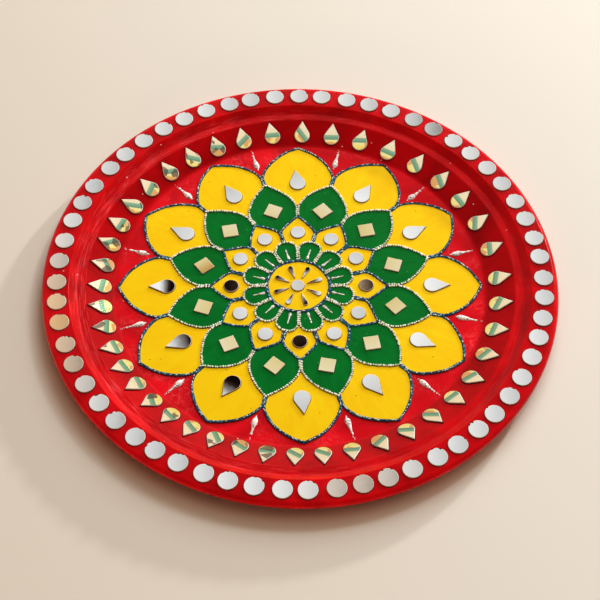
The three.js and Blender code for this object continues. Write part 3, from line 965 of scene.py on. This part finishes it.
# Painted warm reflection of something tan
tan_reflection_tint = add_node(
    tree,
    "ShaderNodeMix",
    {"Factor": facts["Y"], 6: colour("ffffff"), 7: colour("eec08c")},
    data_type="RGBA",
)
reflection_tinted = add_node(
    tree, "ShaderNodeVectorMath", {0: silver, 1: tan_reflection_tint.outputs[2]}, operation="MULTIPLY"
)
shader = add_node(
    tree, "ShaderNodeBsdfPrincipled", {"Base Color": reflection_tinted, "Metallic": 1.0, "Roughness": 0.06}
)
add_node(tree, "ShaderNodeOutputMaterial", {0: shader})


def clouded_glass(name, clouds, low, high, surface):
    """Glass that varies in small clouds between two colours."""
    made, tree = finish_named(name)
    place = add_node(tree, "ShaderNodeTexCoord").outputs["Object"]
    cloud = add_node(tree, "ShaderNodeTexNoise", {"Vector": place, "Scale": clouds, "Detail": 2.0})
    tone = add_node(
        tree, "ShaderNodeMix", {"Factor": cloud, 6: colour(low), 7: colour(high)}, data_type="RGBA"
    )
    shader = add_node(tree, "ShaderNodeBsdfPrincipled", {"Base Color": tone.outputs[2], **surface})
    add_node(tree, "ShaderNodeOutputMaterial", {0: shader})
    return made


# Ground glass edge: pale and frosted. Cut side of the glass: clear and bright inside, so that it
# takes the colour of the paint beside it, with a stain where adhesive has crept up it
frosted = {"Roughness": 0.45, "Specular IOR Level": 0.3}
ground_edge = clouded_glass("glass_edge_ground", 900.0, "e4ddd4", "fffaf2", frosted)
bright_inside = {"Metallic": 0.4, "Roughness": 0.4}
stained_side = clouded_glass("glass_side_stained", 500.0, "c8b8aa", "f6efe6", bright_inside)

# Contact adhesive: clear brown, glossy, squeezed out in a thin rim, made very dark so that the rim is also
# a painted contact shadow round each chip
adhesive, tree = finish_named("adhesive_rim_and_painted_contact_shadow")
place = add_node(tree, "ShaderNodeTexCoord").outputs["Object"]
cloudy = add_node(tree, "ShaderNodeTexNoise", {"Vector": place, "Scale": 400.0})
brown = add_node(
    tree,
    "ShaderNodeMix",
    {"Factor": cloudy, 6: colour("210805"), 7: colour("4f2012")},
    data_type="RGBA",
)
film = add_node(
    tree,
    "ShaderNodeBsdfPrincipled",
    {"Base Color": brown.outputs[2], "Roughness": 0.3, "Specular IOR Level": 0.2},
)
clear = add_node(tree, "ShaderNodeBsdfTransparent")
shader = add_node(tree, "ShaderNodeMixShader", {0: 0.8, 1: clear, 2: film})
add_node(tree, "ShaderNodeOutputMaterial", {0: shader})


def glued(name, chips, dabs, nodes):
    """Finishes the chips, one for each node or all joined for one, and the adhesive under them."""
    pieces = chips if len(nodes) > 1 else [joined(name, chips)]
    for piece, node in zip(pieces, nodes):
        smoothed(piece, 25)
        piece.name = node.replace("_ring", "") + "_cut"
        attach(piece, "root")
        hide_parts(node)
    bed = joined(name + "_adhesive", dabs)
    bed.data.materials.append(adhesive)
    smoothed(bed, 40)
    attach(bed, "root")


# Rim mirrors: sixty 10 mm rounds, level on the flat rim, set by eye a little further on and out at
# the far side than at the near one. Those at the left and a few at the near side carry a painted warm
# reflection, and every one a painted dark one, strongest in a few groups round the rim
RIM_MIRRORS = 60
RIM_MIRROR_DIAMETER = 10 * MM
RIM_MIRROR_RADIUS = 122.95 * MM
RIM_MIRROR_TURN = math.radians(2.2)
RIM_DRIFT = math.radians(1.0)
RIM_DRIFT_FROM = math.radians(220)
RIM_OUTWARDS = 0.4 * MM


def bump_at(angle, centre, width):
    """1 at a direction round the plate, in degrees, falling off over a width on both sides."""
    return math.exp(-(((math.degrees(angle) - centre) / width) ** 2))


chips, dabs = [], []
for index in range(RIM_MIRRORS):
    even = RIM_MIRROR_TURN + index * 2 * math.pi / RIM_MIRRORS
    angle = even + RIM_DRIFT * math.cos(even - RIM_DRIFT_FROM) + glazier.gauss(0, 0.003)
    # Painted reflections: warm at the left and near side, dark in groups at the upper right, upper left
    # and lower left
    tan_reflection_zone = bump_at(even, 193, 17) + 0.5 * bump_at(even, 284, 9)
    warm_reflection = tan_reflection_zone * glazier.uniform(0.8, 1.6)
    painted_reflection = 0.13 + 0.09 * glazier.random() + tan_reflection_zone * glazier.choice((-0.1, 0, 0.15, 0.25))
    painted_reflection += 0.3 * bump_at(even, 58, 4) + 0.12 * bump_at(even, 150, 14) + 0.12 * bump_at(even, 225, 14)
    outline = round_outline(RIM_MIRROR_DIAMETER)
    place = turned(Vector((RIM_MIRROR_RADIUS + RIM_OUTWARDS * math.sin(even), 0)), angle)
    mirror = chip("rim_mirror", nicked(outline, math.pi / 2), silvered, GROUND_BEVEL, (painted_reflection, warm_reflection, 0.35))
    seated(mirror, place, 0, RIM_TOP + SEAT_LIFT, tilt=0.008)
    chips.append(mirror)
    under = dab(outline, ADHESIVE)
    seated(under, place, 0, RIM_TOP, tilt=0)
    dabs.append(under)
glued("rim_mirrors", chips, dabs, ["rim_mirror_ring"])


# Margin drops: forty-three pieces of thin glass over rainbow foil, points outwards, spaced by eye on
# the slope so that the gaps are widest at the right
MARGIN_DROPS = 43
MARGIN_DROP_SIZE = (8.6 * MM, 13 * MM)
MARGIN_SLOPE = math.atan2(LEDGE_TOP - FLOOR_TOP, LEDGE_START - FLOOR_RADIUS)
MARGIN_DROP_ALONG = 6.4 * MM
MARGIN_DROP_SEAT = 0.3 * MM
FIRST_DROP = 3.5
GAP_SWING = 0.15
WIDEST_AT = math.radians(35)
LAST_GAP = 0.22
LAST_GAP_AT = 9


def on_margin(along, above):
    """Radius and height of a point over the slope, from the floor's edge outwards."""
    return (
        FLOOR_RADIUS + along * math.cos(MARGIN_SLOPE) - above * math.sin(MARGIN_SLOPE),
        FLOOR_TOP + along * math.sin(MARGIN_SLOPE) + above * math.cos(MARGIN_SLOPE),
    )


def margin_drop_angles():
    """Directions of the drops: the gaps swing from wide to narrow, and the start was set widest."""
    gaps = []
    for index in range(MARGIN_DROPS):
        middle = math.radians(FIRST_DROP + (index + 0.5) * 360 / MARGIN_DROPS)
        start_gap = LAST_GAP * bump_at(middle, LAST_GAP_AT, 9)
        gaps.append(1 + GAP_SWING * math.cos(middle - WIDEST_AT) + start_gap + glazier.gauss(0, 0.02))
    angles = []
    turned_by = 0
    for gap in gaps:
        angles.append(math.radians(FIRST_DROP + turned_by * 360 / sum(gaps)))
        turned_by += gap
    return angles


# Rainbow foil: thin embossed film behind glass, which splits light into flat bands: cream at the
# point, sage green across the middle and straw to orange at the round end, with grey where two
# bands cross. The bands lie askew, differently in each drop
foil, tree = finish_named("rainbow_foil_embossed")
cut = add_node(tree, "ShaderNodeUVMap", uv_map="cut")
chip_reflection = add_node(tree, "ShaderNodeAttribute", attribute_name="chip_reflection")
facts = add_node(tree, "ShaderNodeSeparateXYZ", {0: chip_reflection.outputs["Vector"]})
centred = add_node(tree, "ShaderNodeVectorMath", {0: cut, 1: (0.5, 0.5, 0)}, operation="SUBTRACT")
askew = add_node(
    tree,
    "ShaderNodeVectorRotate",
    {"Vector": centred, "Angle": facts.outputs["X"]},
    rotation_type="Z_AXIS",
)
lanes = add_node(tree, "ShaderNodeSeparateXYZ", {0: askew})
shifted = add_node(tree, "ShaderNodeMath", {0: lanes.outputs["X"], 1: facts.outputs["Y"]}, operation="ADD")
bands = add_node(tree, "ShaderNodeValToRGB", {0: shifted})
set_ramp(
    bands,
    [
        (0.0, colour("fbd468")),
        (0.3, colour("ffe680")),
        (0.44, colour("fff0a8")),
        (0.455, colour("6a9a7c")),
        (0.61, colour("94bd9a")),
        (0.63, colour("ffe8be")),
        (0.85, colour("fff2d2")),
        (1.0, colour("ffdab0")),
    ],
)
second = add_node(tree, "ShaderNodeVectorMath", {0: centred, "Scale": 3.4}, operation="SCALE")
patches = add_node(
    tree,
    "ShaderNodeTexVoronoi",
    {"Vector": second, "W": facts.outputs["Z"], "Scale": 1.0},
    voronoi_dimensions="4D",
)
patch_tone = add_node(tree, "ShaderNodeSeparateColor", {0: patches.outputs["Color"]})
crossing = add_node(tree, "ShaderNodeMapRange", {0: patch_tone, 1: 0.74, 2: 0.77, 4: 0.8})
marked = add_node(tree, "ShaderNodeMath", {0: facts.outputs["Z"], 1: 0.0}, operation="GREATER_THAN")
grey_share = add_node(tree, "ShaderNodeMath", {0: crossing, 1: marked}, operation="MULTIPLY")
glow = add_node(tree, "ShaderNodeMapRange", {0: patch_tone.outputs[1], 1: 0.5, 2: 0.62, 4: 0.7})
round_end = add_node(tree, "ShaderNodeMath", {0: shifted, 1: 0.455}, operation="LESS_THAN")
orange_share = add_node(tree, "ShaderNodeMath", {0: glow, 1: round_end}, operation="MULTIPLY")
flashed = add_node(
    tree,
    "ShaderNodeMix",
    {"Factor": orange_share, 6: bands, 7: colour("e08a58")},
    data_type="RGBA",
)
crossed = add_node(
    tree,
    "ShaderNodeMix",
    {"Factor": grey_share, 6: flashed.outputs[2], 7: colour("5c4642")},
    data_type="RGBA",
)
shader = add_node(
    tree,
    "ShaderNodeBsdfPrincipled",
    {"Base Color": crossed.outputs[2], "Metallic": 0.8, "Roughness": 0.12},
)
add_node(tree, "ShaderNodeOutputMaterial", {0: shader})

chips, dabs = [], []
seat_radius, seat_height = on_margin(MARGIN_DROP_ALONG, MARGIN_DROP_SEAT)
bed_radius, bed_height = on_margin(MARGIN_DROP_ALONG, -0.05 * MM)
for angle in margin_drop_angles():
    outline = drop_outline(*MARGIN_DROP_SIZE)
    skew = glazier.gauss(0, 0.06)
    marked = 1 if math.cos(angle) < glazier.uniform(-0.9, 0.6) else -1
    facts = (glazier.gauss(0.35, 0.4), glazier.gauss(0.5, 0.035), marked * glazier.uniform(1, 30))
    drop = chip("margin_drop", outline, foil, FOIL_BEVEL, facts)
    drop.data.transform(Matrix.Rotation(skew, 4, "Z"))
    seated(drop, turned(Vector((seat_radius, 0)), angle), angle, seat_height, MARGIN_SLOPE)
    chips.append(drop)
    under = dab(outline, MARGIN_DROP_SEAT + 0.2 * MM)
    under.data.transform(Matrix.Rotation(skew, 4, "Z"))
    seated(under, turned(Vector((bed_radius, 0)), angle), angle, bed_height, MARGIN_SLOPE, 0)
    dabs.append(under)
glued("margin_drops", chips, dabs, ["margin_drop_ring"])


# Mirrors on the flower: a silver drop on every outer petal, a pale gold square on every green one,
# a round on every small yellow one, and a round with eight slivers on the disc. Reaches from the
# plate's centre are in mm
PETAL_DROP_SIZE, PETAL_DROP_REACH = (8.8 * MM, 14 * MM), 67.6
SQUARE_SIDE, SQUARE_REACH, SQUARE_TURN = 8 * MM, 50.3, math.radians(55)
SMALL_ROUND_DIAMETER, SMALL_ROUND_REACH = 7.8 * MM, 34.4
CENTRE_ROUND_DIAMETER = 7.1 * MM
SLIVERS, SLIVER_SIZE, SLIVER_REACH = 8, (2.6 * MM, 8.2 * MM), 11.6
SLIVER_TURN = math.radians(20.5)
# Painted reflections for the slivers, one chosen for each
SLIVER_REFLECTIONS = ((0.95, 0, -2.6), (0.8, 0, -1.6), (1.0, 0, -3.2), (0.2, 0, 2.6))

# Gold mirror: pale champagne, a little streaky, and painted deeper where it stands for a reflection of
# shade
gold, tree = finish_named("gold_tinted_mirror_acrylic")
_, reflected_shade = reflection_across(tree, "Y")
tint = add_node(tree, "ShaderNodeValToRGB", {0: reflected_shade})
set_ramp(
    tint,
    [(0, colour("f3e6c0")), (0.35, colour("e6d194")), (0.7, colour("c99f58")), (1, colour("9c6c30"))],
)
shader = add_node(
    tree, "ShaderNodeBsdfPrincipled", {"Base Color": tint, "Metallic": 1.0, "Roughness": 0.12}
)
add_node(tree, "ShaderNodeOutputMaterial", {0: shader})


def flower_mirror(name, outline, reach, angle, turn, face, facts):
    """One mirror and its adhesive, seated on the paint."""
    place = on_flower(turned(Vector((reach * MM, 0)), angle))
    mirror = chip(name, outline, face, GROUND_BEVEL, facts)
    seated(mirror, place, turn, PAINT_TOP + SEAT_LIFT)
    under = dab(outline, ADHESIVE)
    seated(under, place, turn, PAINT_TOP, tilt=0)
    return mirror, under


def petal_mirrors(name, outline, ring, reach, extra_turn, face, painted_reflection):
    """A mirror on every petal of a ring, each with its painted reflection: how dark, how warm, and how far
    the dark fades across.
    """
    chips, dabs = [], []
    for index in range(PETALS):
        angle = petal_angle(ring, index)
        turn = angle + extra_turn + glazier.gauss(0, 0.07)
        mirror, under = flower_mirror(name, outline, reach, angle, turn, face, painted_reflection(index))
        chips.append(mirror)
        dabs.append(under)
    nodes = [f"{name}_{index + 1:02d}" for index in range(PETALS)]
    glued(name, chips, dabs, nodes)


def drop_reflection(index):
    """Three drops at the left get a painted reflection of the dark of the room, each differently; the
    others are bright.
    """
    if index == 3:
        return (0.66, 0, -2.8)
    if index == 4:
        return (0.6, 0, -1.1)
    if index == 5:
        return (0.95, 0, -1.5)
    return (0.03 if index > 7 else 0.16 + 0.06 * glazier.random(), 0, 0.2)


# Painted reflections on the small rounds: two dark, one dark and warm, the rest pale
def round_reflection(index):
    if index in (3, 6):
        return (0.9, 0, 0.4)
    if index == 9:
        return (0.6, 0.75, 0.8)
    return (0.16 + 0.08 * glazier.random(), 0, 0.2)


# Painted reflections on the gold squares: one darker, the rest a little varied
def square_reflection(index):
    if index == 2:
        return (0.5, 0, 1.0)
    return (glazier.uniform(0.08, 0.32), 0, 0.4)


drop = drop_outline(*PETAL_DROP_SIZE)
petal_mirrors("petal_drop", drop, OUTER_RING, PETAL_DROP_REACH, 0, silvered, drop_reflection)
square = square_outline(SQUARE_SIDE)
petal_mirrors(
    "green_petal_square", square, GREEN_RING, SQUARE_REACH, SQUARE_TURN, gold, square_reflection
)
small = round_outline(SMALL_ROUND_DIAMETER)
petal_mirrors(
    "small_petal_round", small, SMALL_RING, SMALL_ROUND_REACH, 0, silvered, round_reflection
)

chips, dabs = [], []
outline = round_outline(CENTRE_ROUND_DIAMETER)
mirror, under = flower_mirror("centre_round", outline, 0, 0, 0, silvered, (0.22, 0.15, 0.2))
chips.append(mirror)
dabs.append(under)
for index in range(SLIVERS):
    angle = SLIVER_TURN + index * 2 * math.pi / SLIVERS
    outline = drop_outline(*SLIVER_SIZE, 16)
    chip_reflection = glazier.choice(SLIVER_REFLECTIONS)
    mirror, under = flower_mirror(
        "centre_sliver", outline, SLIVER_REACH, angle, angle + math.pi, silvered, chip_reflection
    )
    chips.append(mirror)
    dabs.append(under)
nodes = ["centre_round"] + [f"centre_sliver_{index + 1:02d}" for index in range(SLIVERS)]
glued("centre_mirrors", chips, dabs, nodes)


# Table top, soft light from the upper right, and the camera as fitted to the rings of mirrors
bpy.ops.mesh.primitive_plane_add(size=6, location=(0, 0, -0.05 * MM))
table = named("table_top")
bpy.ops.object.transform_apply(location=True, rotation=False, scale=False)
plaster, tree = finish_named("table_top_matt_cream")
place = add_node(tree, "ShaderNodeTexCoord").outputs["Object"]
parts = add_node(tree, "ShaderNodeSeparateXYZ", {0: place})
# The cream is painted a little darker towards the left and lighter towards the right: painted shade away
# from the lamps
painted_light_to_right = add_node(tree, "ShaderNodeMapRange", {0: parts.outputs["X"], 1: -0.2, 2: 0.2})
cream = add_node(
    tree,
    "ShaderNodeMix",
    {"Factor": painted_light_to_right, 6: colour("dfddd3"), 7: colour("eef0ea")},
    data_type="RGBA",
)
shader = add_node(
    tree,
    "ShaderNodeBsdfPrincipled",
    {"Base Color": cream.outputs[2], "Roughness": 0.9, "Specular IOR Level": 0.1},
)
add_node(tree, "ShaderNodeOutputMaterial", {0: shader})
table.data.materials.append(plaster)

LAMP_DISTANCE = 2.2


def lamp(name, azimuth, elevation, size, energy, tone, glossy=False):
    """A square lamp at this direction from the plate, aimed at it."""
    azimuth, elevation = math.radians(azimuth), math.radians(elevation)
    flat = math.cos(elevation)
    towards = Vector((flat * math.cos(azimuth), flat * math.sin(azimuth), math.sin(elevation)))
    bpy.ops.object.light_add(type="AREA", location=towards * LAMP_DISTANCE)
    made = bpy.context.object
    made.name = name
    made.rotation_euler = towards.to_track_quat("Z", "Y").to_euler()
    made.data.size = size
    made.data.energy = energy
    made.data.color = tone
    made.visible_glossy = glossy


lamp("key_softbox", 74, 33, 1.1, 29, (0.93, 0.97, 1))
lamp("low_window", 54, 12.5, 0.09, 38, (1, 0.96, 0.9))
lamp("glint_lamp", 55, 37, 0.22, 9, (1, 0.97, 0.93), glossy=True)
lamp("reflector_card", 247, 6, 0.4, 20, (1, 0.62, 0.38))

FILL_TOWARDS = (0.34, 0.69, 0.64)
world = bpy.data.worlds.new("pale_studio")
bpy.context.scene.world = world
world.use_nodes = True
tree = world.node_tree
tree.nodes.clear()
direction = add_node(tree, "ShaderNodeTexCoord").outputs["Generated"]
parts = add_node(tree, "ShaderNodeSeparateXYZ", {0: direction})
height = add_node(tree, "ShaderNodeValToRGB", {0: parts.outputs["Z"]})
set_ramp(
    height,
    [
        (0, colour("a0978e")),
        (0.3, colour("dcd6ce")),
        (0.62, colour("f0eee8")),
        (0.8, colour("f4f4f0")),
        (1, colour("f6f6f2")),
    ],
)
behind = add_node(tree, "ShaderNodeVectorMath", {0: direction, 1: FILL_TOWARDS}, operation="DOT_PRODUCT")
towards_back = add_node(tree, "ShaderNodeMath", {0: behind.outputs["Value"], 1: 0.0}, operation="MAXIMUM")
gathered = add_node(tree, "ShaderNodeMath", {0: towards_back, 1: 2.0}, operation="POWER")
fill_level = add_node(tree, "ShaderNodeMapRange", {0: gathered, 3: 0.01, 4: 1.4})
fill_tone = add_node(
    tree,
    "ShaderNodeMix",
    {"Factor": gathered, 6: colour("c8854e"), 7: colour("ffe8d0")},
    data_type="RGBA",
)
seen = add_node(tree, "ShaderNodeLightPath")
direct = add_node(
    tree,
    "ShaderNodeMath",
    {0: seen.outputs["Is Camera Ray"], 1: seen.outputs["Is Transmission Ray"]},
    operation="MAXIMUM",
)
fill = add_node(tree, "ShaderNodeBackground", {0: fill_tone.outputs[2], 1: fill_level})
room = add_node(tree, "ShaderNodeBackground", {0: height, 1: 1.0})
backdrop = add_node(tree, "ShaderNodeBackground", {0: colour("efe9e0"), 1: 1.0})
lit = add_node(tree, "ShaderNodeMixShader", {0: seen.outputs["Is Glossy Ray"], 1: fill, 2: room})
mixed = add_node(tree, "ShaderNodeMixShader", {0: direct, 1: lit, 2: backdrop})
add_node(tree, "ShaderNodeOutputWorld", {0: mixed})

# Camera as fitted to the rings of mirrors: its place, and its tilt, roll and turn in degrees
CAMERA_PLACE = (0, -0.48435, 0.66372)
CAMERA_DEGREES = (35.698, -0.7656, 1.0454)
bpy.ops.object.camera_add(location=CAMERA_PLACE)
camera = bpy.context.object
camera.rotation_euler = [math.radians(part) for part in CAMERA_DEGREES]
camera.data.lens = 96.6
camera.data.sensor_width = 36
camera.data.shift_x = -0.0009
camera.data.shift_y = -0.0016
bpy.context.scene.camera = camera
bpy.context.scene.view_settings.view_transform = "Standard"
